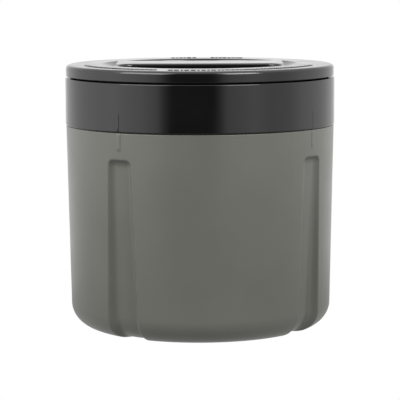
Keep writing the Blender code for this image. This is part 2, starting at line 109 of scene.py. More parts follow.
# Short alignment ribs over each flute: (half width, flank, lower end, upper end, height)
TUB_RIB = (1.8, 1.0, 152.6, SHOULDER + 1.0, 0.45)
COLLAR_RIB = (0.8, 0.4, COLLAR_LOW.z + 0.8, 184.3, 0.2)
RIB_RUN_OUT = 3.0  # the length over which a rib fades away at its ends

# Thread
THREAD_STARTS = 4
THREAD_LEAD = 40.0
THREAD_ARC = math.radians(80.0)
THREAD_LOW = 193.0
THREAD_HEIGHT = 3.0
THREAD_ROOT = 1.2  # how far a rib's root lies inside its wall
THREAD_SUNK = 0.8  # how far the crest sinks into the wall at the rib's ends
THREAD_FLANK = 0.35
THREAD_CREST = 0.7
THREAD_STEPS = 48
THREAD_FADE = 1 / 14  # the share of a rib's length over which it fades at each end
THREAD_LEAST = 0.12
COLLAR_RIB_RADIUS = 98.0
LID_RIB_DROP = 3.5
LID_RIB_RADIUS = 100.4

# Lid
RIM_UNDERSIDE = 207.9
RIM_OUTER_HEIGHT = 217.0
RIM_INNER_HEIGHT = 217.4
LID_RADIUS = LID_HIGH.x
LID_ROUNDING = 3.2
GRIP_TOP = LID_HIGH.z
DISH_RADIUS = 83.0
RECESS_RADIUS = 81.0
POCKET_RADIUS = 76.0
POCKET_FLOOR = 194.5
POCKET_CORNER = 12.0
POCKET_EDGE = 2.0
POCKET_DRAFT = 0.5
POCKET_FLOOR_FILLET = 3.0
CROWN_HALF_WIDTH = 36.0  # the grip's raised face falls to the rim's height at this distance
CROWN_RUN = 12.0
RECESS_RUN = 4.0
GRIP_HALF_LENGTH = 69.0
GRIP_HALF_WIDTH = 23.6
GRIP_END_RUN = 1.8
END_DIP_DEPTH = 5.4
END_DIP_START = 0.12
SKIRT_INNER_RADIUS = 107.0
COVER_CEILING = 213.4
BOWL_RADIUS = 79.5
PLUG_RADIUS = 97.5
PLUG_BORE = 94.0
PLUG_FLOOR_TOP = 191.0
FLANGE_UNDERSIDE = 210.0
SEAL_BORE = 99.0
SEAL_FILLET = 0.9
RIM_ROW = 94.0  # a row of the grid across the rim

# The dish's grid: steps along the grip, over its ends, beyond them and across it, and its reach across
DISH_FLAT_STEP = 3.0
DISH_END_STEP = 0.4
DISH_BEYOND_STEP = 0.8
DISH_CROSS_STEP = 1.3
DISH_END_REACH = 2.0
DISH_HALF_DEPTH = 52.0
DISH_MARGIN = 0.6
POCKET_MARGIN = 0.4

# Plain bars on the rim: groups as spans in degrees, and ranges of lengths and spaces
RIM_MARK_INNER = 93.6
RIM_MARK_OUTER = 97.0
RIM_MARK_MIDDLE = 95.0
RIM_MARK_HEIGHT = 0.5
RIM_MARK_SHOULDER = 0.3
RIM_MARK_CHAMFER = 0.2
RIM_MARK_SUNK = -0.05
RIM_MARK_GROUPS = ((-166.0, -113.0), (-105.0, -20.0), (67.5, 83.0), (92.0, 104.5))
RIM_MARK_LENGTHS = (1.7, 4.0)
RIM_MARK_SPACES = (0.9, 1.5)

# Screws
HEAD_RADIUS = 3.8
SHANK_RADIUS = 1.9
HEAD_DEPTH = 1.9
HEX_RADIUS = 1.5
HEX_DEPTH = 1.2
HEX_CHAMFER = 0.12
HEX_CONE = 0.4
HEAD_EDGE = ((0.25, 0.0), (0.05, 0.12), (0.0, 0.3))  # (inset, depth) round the head's rim
SCREW_PITCH = 0.8
SCREW_THREAD_DEPTH = 0.35
SCREW_THREAD_START = 0.6
SCREW_TIP = 0.8
SCREW_TIP_CHAMFER = 0.5
SCREW_COLUMNS = 24  # puts a corner of the hexagon on every fourth column
HOLE_COLUMNS = 32
HOLE_MOUTH = 2.0  # how far a hole's cutter stands out of the face
COLLAR_SCREW_LENGTH = 8.0

# Locks
BOLT_BAR_HEIGHT = 5.0
BOLT_EDGE = 0.35
TAB_THICKNESS = 6.0
TAB_MARGIN = 0.6
RIDGES = 3
RIDGE_PITCH = 1.7
RIDGE_HEIGHT = 0.7
RIDGE_FLANK = 0.5
KEEPER_EDGE = 1.0
SLOT_OVERLAP = 4.0  # how far a slot's cutter reaches past the wall that it opens
COLLAR_SLOT_END = 105.5

COLUMNS = 256

# The light table, and its light towards the front and the back: (distance in metres, radiance)
FLOOR_RADIUS = 1100.0
FLOOR_DROP = 0.1
FLOOR_EDGE = 2.0
FLOOR_THICKNESS = 8.0
FLOOR_COLUMNS = 96
FLOOR_FRONT = ((0.12, 0.58), (0.16, 0.31), (0.25, 0.31), (0.7, 0.31))
FLOOR_BACK = ((0.12, 0.58), (0.20, 0.60), (0.31, 0.80), (0.54, 1.06), (0.7, 1.08))

# The walls of the set: azimuth in degrees, 0 on the camera's side and growing towards +X, and radiance
WALLS = ((-180, 1.15), (-155, 0.9), (-125, 1.08), (-77, 1.85), (-50, 1.5), (-37, 1.1), (-30, 0.35),
         (-24, 0.06), (12, 0.06), (17, 0.35), (23, 0.95), (47, 1.3), (62, 1.05), (78, 1.06), (97, 1.34),
         (125, 1.08), (155, 0.92), (180, 1.15))
OVERHEAD = 1.7
OVERHEAD_FROM, OVERHEAD_FULL = 38.0, 60.0  # degrees above the horizon
BRIGHTEST = 2.0  # the radiance that the colour ramps' white stands for

# Softboxes: name, azimuth, elevation, distance, width, height and radiance
SOFTBOXES = (("softbox_left", -52.0, 38.0, 1.3, 0.9, 0.6, 6.5),
             ("softbox_right", 38.0, 38.0, 1.3, 0.6, 0.6, 10.0))
SOFTBOX_TARGET = 0.15

CAMERA_PLACE = (0.0, -1.665, 0.3073)
CAMERA_YAW, CAMERA_DOWN, CAMERA_ROLL = 0.009, 6.972, -0.22
CAMERA_LENS = 181.35


# ---------------------------------------------------------------- mesh helpers

def mesh_object(name, verts, faces):
    """An object from points in millimetres."""
    mesh = bpy.data.meshes.new(name)
    mesh.from_pydata((np.asarray(verts) * MM).tolist(), [], faces)
    bm = bmesh.new()
    bm.from_mesh(mesh)
    bmesh.ops.remove_doubles(bm, verts=bm.verts, dist=0.002 * MM)
    bmesh.ops.recalc_face_normals(bm, faces=bm.faces)
    bm.to_mesh(mesh)
    bm.free()
    obj = bpy.data.objects.new(name, mesh)
    bpy.context.scene.collection.objects.link(obj)
    return obj


def skin(rings, close_rows):
    """Points and faces over equal rings of points. A ring of equal points makes a pole."""
    rings = np.asarray(rings)
    rows, columns = rings.shape[:2]
    poles = [np.ptp(ring, axis=0).max() < 1e-9 for ring in rings]
    faces = []
    for i in range(rows if close_rows else rows - 1):
        below = (i + 1) % rows
        for j in range(columns):
            beside = (j + 1) % columns
            a, b = i * columns + j, below * columns + j
            c, d = below * columns + beside, i * columns + beside
            if poles[i] and poles[below]:
                continue
            if poles[i]:
                faces.append((a, b, c))
            elif poles[below]:
                faces.append((a, b, d))
            else:
                faces.append((a, b, c, d))
    return rings.reshape(-1, 3), faces


def rounded(corners, cyclic=True, steps_per_mm=1.2):
    """A profile from (radius, height, fillet) corners, with each fillet as an arc."""
    points = []
    count = len(corners)
    for i, (x, y, fillet) in enumerate(corners):
        here = np.array((x, y), float)
        if fillet == 0 or (not cyclic and i in (0, count - 1)):
            points.append(here)
            continue
        before = np.array(corners[i - 1][:2], float) - here
        after = np.array(corners[(i + 1) % count][:2], float) - here
        before /= np.linalg.norm(before)
        after /= np.linalg.norm(after)
        half = math.acos(np.clip(before @ after, -1, 1)) / 2
        middle = (before + after) / np.linalg.norm(before + after)
        centre = here + middle * fillet / math.sin(half)
        start = here + before * fillet / math.tan(half) - centre
        end = here + after * fillet / math.tan(half) - centre
        first = math.atan2(start[1], start[0])
        sweep = math.remainder(math.atan2(end[1], end[0]) - first, 2 * math.pi)
        steps = max(4, math.ceil(fillet * steps_per_mm))
        for k in range(steps + 1):
            angle = first + sweep * k / steps
            points.append(centre + fillet * np.array((math.cos(angle), math.sin(angle))))
    return points


def around_axis(radius, angles, height):
    """A ring of points. The radius and the height may differ from column to column."""
    return np.column_stack([radius * np.cos(angles), radius * np.sin(angles),
                            np.broadcast_to(height, np.shape(angles))])


def turned(name, profile, columns=COLUMNS, cyclic=True):
    """A profile of (radius, height) points, turned round the axis."""
    angles = np.linspace(0, 2 * math.pi, columns, endpoint=False)
    rings = [around_axis(r, angles, z) for r, z in profile]
    return mesh_object(name, *skin(rings, cyclic))


def smooth_step(value):
    value = np.clip(value, 0.0, 1.0)
    return value * value * (3 - 2 * value)


def rounded_box(name, low, high, bevel=0.0):
    """A box between two corners in millimetres."""
    bm = bmesh.new()
    bmesh.ops.create_cube(bm, size=MM)
    bmesh.ops.scale(bm, vec=Vector(high) - Vector(low), verts=bm.verts)
    bmesh.ops.translate(bm, vec=(Vector(high) + Vector(low)) / 2 * MM, verts=bm.verts)
    if bevel:
        bmesh.ops.bevel(bm, geom=bm.edges[:], offset=bevel * MM, segments=4, profile=0.5, affect="EDGES")
    mesh = bpy.data.meshes.new(name)
    bm.to_mesh(mesh)
    bm.free()
    obj = bpy.data.objects.new(name, mesh)
    bpy.context.scene.collection.objects.link(obj)
    return obj


def extruded(name, outline, half_width, to_point):
    """A closed (u, v) outline, extruded both ways. to_point turns (u, v, w) into (x, y, z)."""
    count = len(outline)
    verts = [to_point(u, v, w) for w in (-half_width, half_width) for u, v in outline]
    faces = [tuple(range(count)), tuple(range(2 * count - 1, count - 1, -1))]
    faces += [(i, (i + 1) % count, (i + 1) % count + count, i + count) for i in range(count)]
    return mesh_object(name, verts, faces)


def joined(name, objects):
    """One object from several. The sources are removed."""
    bm = bmesh.new()
    for obj in objects:
        obj.data.transform(obj.matrix_basis)
        bm.from_mesh(obj.data)
        bpy.data.objects.remove(obj, do_unlink=True)
    mesh = bpy.data.meshes.new(name)
    bm.to_mesh(mesh)
    bm.free()
    obj = bpy.data.objects.new(name, mesh)
    bpy.context.scene.collection.objects.link(obj)
    return obj


def combine(target, tools, operation):
    """Cut or join closed tools into a closed target, for good."""
    tool = joined("tool", tools)
    modifier = target.modifiers.new("combine", "BOOLEAN")
    modifier.operation = operation
    modifier.solver = "MANIFOLD"
    modifier.object = tool
    bpy.context.view_layer.update()
    depsgraph = bpy.context.evaluated_depsgraph_get()
    mesh = bpy.data.meshes.new_from_object(target.evaluated_get(depsgraph))
    target.modifiers.clear()
    target.data = mesh
    bpy.data.objects.remove(tool, do_unlink=True)


def shade(obj, angle=38.0):
    """Smooth shading that large faces dominate, so that fillets blend into flats cleanly."""
    obj.data.shade_smooth()
    obj.data.set_sharp_from_angle(angle=math.radians(angle))
    weighting = obj.modifiers.new("weighted_normals", "WEIGHTED_NORMAL")
    weighting.mode = "FACE_AREA_WITH_ANGLE"
    weighting.keep_sharp = True


def finish_piece(obj, material, body, slot, *nodes):
    """Give a piece its material, and make it ride on its body in place of its CAD nodes."""
    obj.data.materials.clear()
    obj.data.materials.append(material)
    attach(obj, body)
    if nodes:
        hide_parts(*nodes)


# ---------------------------------------------------------------- materials

def start_material(name, colour, roughness, metallic=0.0):
    material = bpy.data.materials.new(name)
    material.use_nodes = True
    tree = material.node_tree
    shader = tree.nodes["Principled BSDF"]
    shader.inputs["Base Color"].default_value = (*colour, 1.0)
    shader.inputs["Roughness"].default_value = roughness
    shader.inputs["Metallic"].default_value = metallic
    coords = tree.nodes.new("ShaderNodeTexCoord").outputs["Object"]
    return material, tree, shader, coords


def noise(tree, coords, size, detail=2.0, stretch=(1.0, 1.0, 1.0), distortion=0.0):
    """Noise whose grains are about size millimetres across, longer where stretch is above 1."""
    mapping = tree.nodes.new("ShaderNodeMapping")
    mapping.inputs["Scale"].default_value = [1.0 / s for s in stretch]
    tree.links.new(coords, mapping.inputs["Vector"])
    texture = tree.nodes.new("ShaderNodeTexNoise")
    texture.inputs["Scale"].default_value = 1.0 / (size * MM)
    texture.inputs["Detail"].default_value = detail
    texture.inputs["Distortion"].default_value = distortion
    tree.links.new(mapping.outputs["Vector"], texture.inputs["Vector"])
    return texture.outputs["Fac"]


def ranged(tree, value, low, high):
    """Noise, which lies mostly between 0.3 and 0.7, spread from low to high."""
    spread = tree.nodes.new("ShaderNodeMapRange")
    spread.inputs["From Min"].default_value = 0.3
    spread.inputs["From Max"].default_value = 0.7
    spread.inputs["To Min"].default_value = low
    spread.inputs["To Max"].default_value = high
    tree.links.new(value, spread.inputs["Value"])
    return spread.outputs["Result"]


def tint(tree, shader, value, dark, light):
    """Base colour that drifts between two close colours."""
    drift = mixed(tree, ranged(tree, value, 0.0, 1.0), (*dark, 1.0), (*light, 1.0))
    tree.links.new(drift, shader.inputs["Base Color"])


def bump(tree, value, height, below=None):
    """Relief whose full swing is height millimetres, on top of an earlier relief."""
    node = tree.nodes.new("ShaderNodeBump")
    node.inputs["Strength"].default_value = 1.0
    node.inputs["Distance"].default_value = height * MM
    tree.links.new(value, node.inputs["Height"])
    if below is not None:
        tree.links.new(below, node.inputs["Normal"])
    return node.outputs["Normal"]


def make_tub_plastic():
    """Olive-grey polycarbonate with the fine matt grain of a spark-eroded mould."""
    colour = (0.103, 0.106, 0.090)
    material, tree, shader, coords = start_material("olive_polycarbonate", colour, 0.30)
    cloudy = noise(tree, coords, 38.0, detail=2.0)
    tint(tree, shader, cloudy, [c * 0.965 for c in colour], [c * 1.035 for c in colour])
    patches = noise(tree, coords, 26.0, detail=1.0)
    tree.links.new(ranged(tree, patches, 0.28, 0.32), shader.inputs["Roughness"])
    flow = bump(tree, noise(tree, coords, 14.0, detail=1.0, stretch=(1.0, 1.0, 5.0)), 0.015)
    grain = bump(tree, noise(tree, coords, 0.55, detail=1.0), 0.003, flow)
    tree.links.new(grain, shader.inputs["Normal"])
    return material


def make_black_plastic(name, roughness, grain_height):
    """Black moulded plastic with a satin face, faint flow lines and handling marks."""
    colour = (0.0032, 0.0032, 0.0033)
    material, tree, shader, coords = start_material(name, colour, roughness)
    cloudy = noise(tree, coords, 20.0, detail=3.0)
    tint(tree, shader, cloudy, [c * 0.85 for c in colour], [c * 1.15 for c in colour])
    smears = noise(tree, coords, 16.0, detail=5.0, stretch=(1.6, 1.6, 1.0), distortion=0.4)
    tree.links.new(ranged(tree, smears, roughness - 0.03, roughness + 0.04), shader.inputs["Roughness"])
    flow = bump(tree, noise(tree, coords, 22.0, detail=1.0), 0.012)
    grain = bump(tree, noise(tree, coords, 0.4, detail=2.0), grain_height, flow)
    tree.links.new(grain, shader.inputs["Normal"])
    return material


def make_rubber():
    colour = (0.010, 0.010, 0.010)
    material, tree, shader, coords = start_material("black_rubber", colour, 0.72)
    bloom = noise(tree, coords, 6.0, detail=4.0)
    tint(tree, shader, bloom, colour, [c * 1.9 for c in colour])
    tree.links.new(ranged(tree, bloom, 0.62, 0.80), shader.inputs["Roughness"])
    tree.links.new(bump(tree, noise(tree, coords, 0.3, detail=3.0), 0.01), shader.inputs["Normal"])
    return material


def make_steel():
    colour = (0.56, 0.55, 0.53)
    material, tree, shader, coords = start_material("stainless_steel", colour, 0.3, metallic=1.0)
    stain = noise(tree, coords, 1.6, detail=3.0)
    tint(tree, shader, stain, [c * 0.86 for c in colour], colour)
    tree.links.new(ranged(tree, stain, 0.22, 0.40), shader.inputs["Roughness"])
    tree.links.new(bump(tree, noise(tree, coords, 0.12, detail=2.0), 0.004), shader.inputs["Normal"])
    return material


# ---------------------------------------------------------------- tub

def wall_radius(height):
    """The tapered wall's radius, away from the flutes."""
    return TUB_TOP_RADIUS - TUB_TAPER * (SHOULDER - height)


def flute_half_width(height):
    """The flutes widen towards the base."""
    share = (FLUTE_TOP - height) / FLUTE_TOP
    return (FLUTE_TOP_WIDTH + (FLUTE_BASE_WIDTH - FLUTE_TOP_WIDTH) * share) / 2


def tub_columns(height):
    """The grid's azimuths at a height. They crowd round the ribs' edges and follow each flute's sides."""
    half = flute_half_width(height)
    ribs = [rib[0] + rib[1] * k / 4 for rib in (COLLAR_RIB, TUB_RIB) for k in (-2, -1, 0, 1, 2)]
    floor = np.linspace(FLOOR_COLUMN, half - FLUTE_RUN, 4)
    side = np.linspace(half - FLUTE_RUN, half - FLUTE_LIP, 9)[1:]
    lip = np.linspace(half - FLUTE_LIP, half + FLUTE_LIP, 9)[1:]
    beyond = np.linspace(half + FLUTE_LIP, OUTER_COLUMN, 8)[1:]
    offsets = np.concatenate([[0.0, MIDDLE_COLUMN], ribs, floor, side, lip, beyond])
    offsets = np.concatenate([-offsets[:0:-1], offsets])
    near = np.arcsin(offsets / TUB_TOP_RADIUS)
    between = np.linspace(near[-1], near[0] + QUARTER, 28)[1:-1]
    return np.concatenate([np.concatenate([near, between]) + angle for angle in FLUTE_ANGLES])


def from_flute_middle(angles):
    """Signed angle from the middle of the nearest flute. The flutes are a quarter turn apart."""
    return (angles - FLUTE_ANGLES[0] + QUARTER / 2) % QUARTER - QUARTER / 2


def flute_share(angles, height, inset):
    """How much of a flute's depth each column has at a height.

    inset is how far the face lies behind the outer one. A flute is steepest at its rounded lip,
    and curves into its floor.
    """
    corner = FLUTE_CORNER + inset
    offset = np.abs(TUB_TOP_RADIUS * np.sin(from_flute_middle(angles)))
    beside = offset - flute_half_width(height) - inset + corner
    above = height - FLUTE_TOP - inset + corner
    outside = np.minimum(np.maximum(beside, above), 0.0)
    outside = outside + np.hypot(np.maximum(beside, 0.0), max(above, 0.0)) - corner
    within = np.where(np.abs(outside) < FLUTE_LIP, (FLUTE_LIP - outside) ** 2 / (4 * FLUTE_LIP),
                      np.maximum(-outside, 0.0))
    return 1 - (1 - np.clip(within / FLUTE_RUN, 0.0, 1.0)) ** 3


def flute_depth(height):
    """The flutes deepen towards the base."""
    return FLUTE_BASE_DEPTH - (FLUTE_BASE_DEPTH - FLUTE_TOP_DEPTH) * height / FLUTE_TOP


def rib_height(angles, height, rib):
    """How far an alignment rib stands out of its wall."""
    half_width, flank, low, high, proud = rib
    offset = np.abs(TUB_TOP_RADIUS * np.sin(from_flute_middle(angles)))
    across = smooth_step((half_width + flank / 2 - offset) / flank)
    along = smooth_step((high - height) / RIB_RUN_OUT) * smooth_step((height - low) / RIB_RUN_OUT)
    return proud * across * along


def with_heights(profile, heights):
    """Adds a point to a profile wherever one of its straight runs crosses a height."""
    dense = [profile[0]]
    for start, end in zip(profile, profile[1:]):
        inner = [h for h in heights if min(start[1], end[1]) < h < max(start[1], end[1])]
        for h in sorted(inner, reverse=bool(end[1] < start[1])):
            dense.append(start + (end - start) * (h - start[1]) / (end[1] - start[1]))
        dense.append(end)
    return dense


def rib_rows(rib):
    """Heights that pick out both ends of an alignment rib."""
    return [end + RIB_RUN_OUT * k / 4 for end in (rib[2], rib[3] - RIB_RUN_OUT) for k in range(5)]


def fluted_rings(profile, inset):
    """Rings over one of the tub's profiles, with the flutes and, on its outer face, the ribs."""
    rings = []
    for radius, height in profile:
        angles = tub_columns(height)
        if radius > FLUTE_INNERMOST and height < min(SHOULDER, FLUTE_TOP + inset + FLUTE_LIP):
            radius = radius - flute_share(angles, height, inset) * flute_depth(height)
        elif inset == 0 and TUB_RIB[2] < height < SHOULDER and radius > NECK_RADIUS + 1:
            radius = radius + rib_height(angles, height, TUB_RIB)
        rings.append(around_axis(radius, angles, height))
    return rings


def make_tub(plastic, screw_holes):
    """The fluted tub with its neck, its recessed base and its hollow inside."""
    base_radius = wall_radius(0.0)
    outside = rounded([
        (BORE_RADIUS + WALL / 2, TUB_HIGH.z, 0.0), (NECK_RADIUS, TUB_HIGH.z, 0.6),
        (NECK_RADIUS, SHOULDER, 0.4), (TUB_TOP_RADIUS, SHOULDER, SHOULDER_ROUNDING),
        (base_radius, 0.0, BASE_ROUNDING), (FOOT_INNER_RADIUS + FOOT_HEIGHT, 0.0, 0.6),
        (FOOT_INNER_RADIUS, FOOT_HEIGHT, 0.6), (0.0, FOOT_HEIGHT, 0.0),
    ], cyclic=False)
    rounding_start = base_radius - BASE_ROUNDING - 0.01
    for point in outside:
        if point[1] < BASE_ROUNDING and point[0] > rounding_start:
            point[0] = base_radius - (base_radius - point[0]) * FOOT_FLATTENING
    down_the_wall = [*np.arange(*WALL_ROWS), *np.arange(*FLUTE_END_ROWS)]
    outside = with_heights(outside, down_the_wall + rib_rows(TUB_RIB) + UPPER_ROWS)

    floor = FOOT_HEIGHT + WALL
    ceiling = SHOULDER - 2 * WALL
    inside = rounded([
        (0.0, floor, 0.0), (base_radius - WALL, floor, BASE_ROUNDING - WALL),
        (wall_radius(ceiling) - WALL, ceiling, 1.0), (BORE_RADIUS, ceiling + WALL, 1.0),
        (BORE_RADIUS, TUB_HIGH.z, 0.6), (BORE_RADIUS + WALL / 2, TUB_HIGH.z, 0.0),
    ], cyclic=False)
    inside = with_heights(inside, [*np.arange(*INNER_WALL_ROWS), *np.arange(*INNER_END_ROWS)])

    rings = fluted_rings(outside, 0.0) + fluted_rings(inside, WALL)[:-1]
    tub = mesh_object("tub", *skin(rings, True))
    combine(tub, screw_holes, "DIFFERENCE")
    shade(tub)
    finish_piece(tub, plastic, "canister", "tub_plastic", "body_shell")


# ---------------------------------------------------------------- threads and slots

def thread_rib(root, tip, low, middle):
    """A rib with rounded crests that climbs along the lead, and sinks into the wall at both ends."""
    side = math.copysign(1.0, tip - root)
    proud = abs(tip - root)
    arc_points = 5
    rings = []
    for i in range(THREAD_STEPS + 1):
        share = i / THREAD_STEPS
        angle = middle + THREAD_ARC * (share - 0.5)
        climb = THREAD_LEAD * THREAD_ARC / (2 * math.pi) * share
        fade = smooth_step(min(share, 1 - share) / THREAD_FADE)
        out = (proud + THREAD_SUNK) * max(fade, THREAD_LEAST) - THREAD_SUNK
        section = rounded([
            (-THREAD_ROOT, 0.0, 0.0), (out, THREAD_FLANK, THREAD_CREST * fade),
            (out, THREAD_HEIGHT - THREAD_FLANK, THREAD_CREST * fade), (-THREAD_ROOT, THREAD_HEIGHT, 0.0),
        ])
        if fade == 0:
            section = [section[0], *[section[1]] * arc_points, *[section[2]] * arc_points, section[3]]
        rings.append([((root + side * u) * math.cos(angle), (root + side * u) * math.sin(angle),
                       low + climb + v) for u, v in section])
    count = len(rings[0])
    verts, faces = skin(rings, False)
    faces += [tuple(range(count)), tuple(range(len(verts) - 1, len(verts) - count - 1, -1))]
    return mesh_object("thread_rib", verts, faces)


def thread_ribs(root, tip, low):
    """One rib for each start of the thread."""
    middles = [2 * math.pi * (i + 0.5) / THREAD_STARTS for i in range(THREAD_STARTS)]
    return [thread_rib(root, tip, low, middle) for middle in middles]


def bolt_slots(inner, outer):
    """Cutters for the passage of both lock bolts, from one radius out to another."""
    width = BOLT_HIGH.x + GAP
    low, high = BOLT_LOW.z - GAP, BOLT_LOW.z + BOLT_BAR_HEIGHT + GAP
    spans = ((-outer, -inner), (inner, outer))
    return [rounded_box("slot", (-width, near, low), (width, far, high)) for near, far in spans]


# ---------------------------------------------------------------- collar

def make_collar(plastic):
    """The collar, with the inner thread and a slot for each lock bolt."""
    profile = rounded([
        (BORE_RADIUS, COLLAR_HIGH.z, 1.0), (COLLAR_HIGH.x, COLLAR_HIGH.z, 0.8),
        (COLLAR_HIGH.x, COLLAR_LOW.z, 0.8), (SOCKET_RADIUS, COLLAR_LOW.z, 0.5),
        (SOCKET_RADIUS, TUB_HIGH.z + GAP, 0.2), (BORE_RADIUS, TUB_HIGH.z + GAP, 0.3),
    ])
    profile = with_heights(profile, rib_rows(COLLAR_RIB) + COLLAR_ROWS)
    angles = tub_columns(FLUTE_TOP)
    rings = []
    for radius, height in profile:
        proud = rib_height(angles, height, COLLAR_RIB) if radius > COLLAR_HIGH.x - 0.01 else 0.0
        rings.append(around_axis(radius + proud, angles, height))
    collar = mesh_object("collar", *skin(rings, True))
    combine(collar, thread_ribs(BORE_RADIUS, COLLAR_RIB_RADIUS, THREAD_LOW), "UNION")
    combine(collar, bolt_slots(BORE_RADIUS - SLOT_OVERLAP, COLLAR_SLOT_END), "DIFFERENCE")
    shade(collar)
    finish_piece(collar, plastic, "canister", "collar_plastic", "collar_ring")


# ---------------------------------------------------------------- lid

def pocket_outline(grow, side):
    """The D of a finger pocket, grown outwards.

    It has an arc by the rim, two corners, and a straight side by the grip.
    """
    away = GRIP_HALF_WIDTH + POCKET_CORNER
    corner_x = math.sqrt((POCKET_RADIUS - POCKET_CORNER) ** 2 - away ** 2)
    turn = math.atan2(-away, corner_x)
    points = []
    for angle in np.linspace(-math.pi - turn, turn, 61):
        points.append((POCKET_RADIUS + grow) * np.array((math.cos(angle), math.sin(angle))))
    corner = POCKET_CORNER + grow
    for angle in np.linspace(turn, QUARTER, 21)[1:]:
        points.append(np.array((corner_x + corner * math.cos(angle), -away + corner * math.sin(angle))))
    for x in np.linspace(corner_x, -corner_x, 41)[1:]:
        points.append(np.array((x, -away + corner)))
    for angle in np.linspace(QUARTER, math.pi - turn, 21)[1:-1]:
        points.append(np.array((-corner_x + corner * math.cos(angle), -away + corner * math.sin(angle))))
    return np.array(points) * side


def inside_outline(x, y, outline):
    """Whether each point lies inside a closed outline, by counting the edges to its right."""
    hits = np.zeros(np.shape(x), bool)
    for (x1, y1), (x2, y2) in zip(outline, np.roll(outline, -1, axis=0)):
        if y1 != y2:
            hits ^= ((y1 > y) != (y2 > y)) & (x < (x2 - x1) * (y - y1) / (y2 - y1) + x1)
    return hits


def rim_height(radius):
    """The rim falls a little towards the outside."""
    slope = (RIM_INNER_HEIGHT - RIM_OUTER_HEIGHT) / (LID_RADIUS - LID_ROUNDING - RECESS_RADIUS)
    return RIM_INNER_HEIGHT - slope * np.maximum(radius - RECESS_RADIUS, 0.0)


def dish_height(x, y):
    """The lid's upper face: a slightly raised grip, with a shallow dip beyond each of its ends."""
    radius = np.hypot(x, y)
    rim = rim_height(radius)
    raised = (GRIP_TOP - RIM_INNER_HEIGHT) * smooth_step((CROWN_HALF_WIDTH - np.abs(y)) / CROWN_RUN)
    within = smooth_step((RECESS_RADIUS - radius) / RECESS_RUN)
    grip = rim + raised * within
    fall = np.clip((RECESS_RADIUS - radius) / (RECESS_RADIUS - GRIP_HALF_LENGTH), 0.0, 1.0)
    dip = rim - END_DIP_DEPTH * fall * smooth_step(fall / END_DIP_START)
    end_wall = smooth_step((np.abs(x) - GRIP_HALF_LENGTH) / GRIP_END_RUN + 0.5)
    return grip + (dip - grip) * end_wall


def dish_points():
    """Points inside the dish, closer together where the surface turns."""
    steep_from, steep_to = GRIP_HALF_LENGTH - DISH_END_REACH, GRIP_HALF_LENGTH + DISH_END_REACH
    flat = np.arange(0.0, steep_from - 0.5, DISH_FLAT_STEP)
    steep = np.arange(steep_from, steep_to + 0.01, DISH_END_STEP)
    beyond = np.arange(steep_to + 0.5, DISH_RADIUS, DISH_BEYOND_STEP)
    along = np.concatenate([flat, steep, beyond])
    across = np.arange(-DISH_HALF_DEPTH, DISH_HALF_DEPTH + 0.01, DISH_CROSS_STEP)
    x, y = np.meshgrid(np.concatenate([-along[:0:-1], along]), across)
    x, y = x.ravel(), y.ravel()
    keep = np.hypot(x, y) < DISH_RADIUS - DISH_MARGIN
    for side in (1, -1):
        keep &= ~inside_outline(x, y, pocket_outline(POCKET_EDGE + POCKET_MARGIN, side))
    return np.stack([x[keep], y[keep]], axis=1)


def make_dish():
    """The lid's face inside the rim, as triangles between the rim's circle and the pockets' edges."""
    turn = np.linspace(0, 2 * math.pi, COLUMNS, endpoint=False)
    circle = DISH_RADIUS * np.stack([np.cos(turn), np.sin(turn)], axis=1)
    loops = [circle, pocket_outline(POCKET_EDGE, 1), pocket_outline(POCKET_EDGE, -1)]
    edges, start = [], 0
    for loop in loops:
        count = len(loop)
        edges += [(start + i, start + (i + 1) % count) for i in range(count)]
        start += count
    flat = np.concatenate(loops + [dish_points()])
    found = delaunay_2d_cdt([Vector(p) for p in flat], edges, [], 0, 1e-5)
    points = np.array([tuple(v) for v in found[0]])
    triangles = np.array([tuple(f) for f in found[2]])
    middle = points[triangles].mean(axis=1)
    keep = ~inside_outline(middle[:, 0], middle[:, 1], loops[1])
    keep &= ~inside_outline(middle[:, 0], middle[:, 1], loops[2])
    heights = dish_height(points[:, 0], points[:, 1])
    return np.column_stack([points, heights]), [tuple(t) for t in triangles[keep].tolist()]


def make_pocket(side):
    """A finger pocket's rounded edge, drafted wall, floor fillet and floor."""
    edge_loop = pocket_outline(POCKET_EDGE, side)
    top = dish_height(edge_loop[:, 0], edge_loop[:, 1])
    rings = []
    for angle in np.linspace(0.0, QUARTER, 9):
        flat = pocket_outline(POCKET_EDGE * (1 - math.sin(angle)), side)
        rings.append(np.column_stack([flat, top - POCKET_EDGE * (1 - math.cos(angle))]))
    fillet = POCKET_FLOOR_FILLET
    for angle in np.linspace(0.0, QUARTER, 7):
        flat = pocket_outline(-POCKET_DRAFT - fillet * (1 - math.cos(angle)), side)
        height = POCKET_FLOOR + fillet * (1 - math.sin(angle))
        rings.append(np.column_stack([flat, np.full(len(flat), height)]))
    verts, faces = skin(rings, False)
    count = len(rings[0])
    faces.append(tuple(range(len(verts) - count, len(verts))))
    return verts, faces


def make_lid_shell():
    """Everything outside the dish: rim, outer rounding, skirt and the closed lower side."""
    profile = rounded([
        (DISH_RADIUS, rim_height(DISH_RADIUS), 0.0), (RIM_ROW, rim_height(RIM_ROW), 0.0),
        (LID_RADIUS, RIM_OUTER_HEIGHT, LID_ROUNDING), (LID_RADIUS, RIM_UNDERSIDE, 0.5),
        (SKIRT_INNER_RADIUS, RIM_UNDERSIDE, 0.3), (SKIRT_INNER_RADIUS, COVER_CEILING, 0.3),
        (BOWL_RADIUS, COVER_CEILING, 0.3), (BOWL_RADIUS, LID_LOW.z, 0.5), (0.0, LID_LOW.z, 0.0),
    ], cyclic=False, steps_per_mm=3.2)
    angles = np.linspace(0, 2 * math.pi, COLUMNS, endpoint=False)
    return skin([around_axis(r, angles, z) for r, z in profile], False)


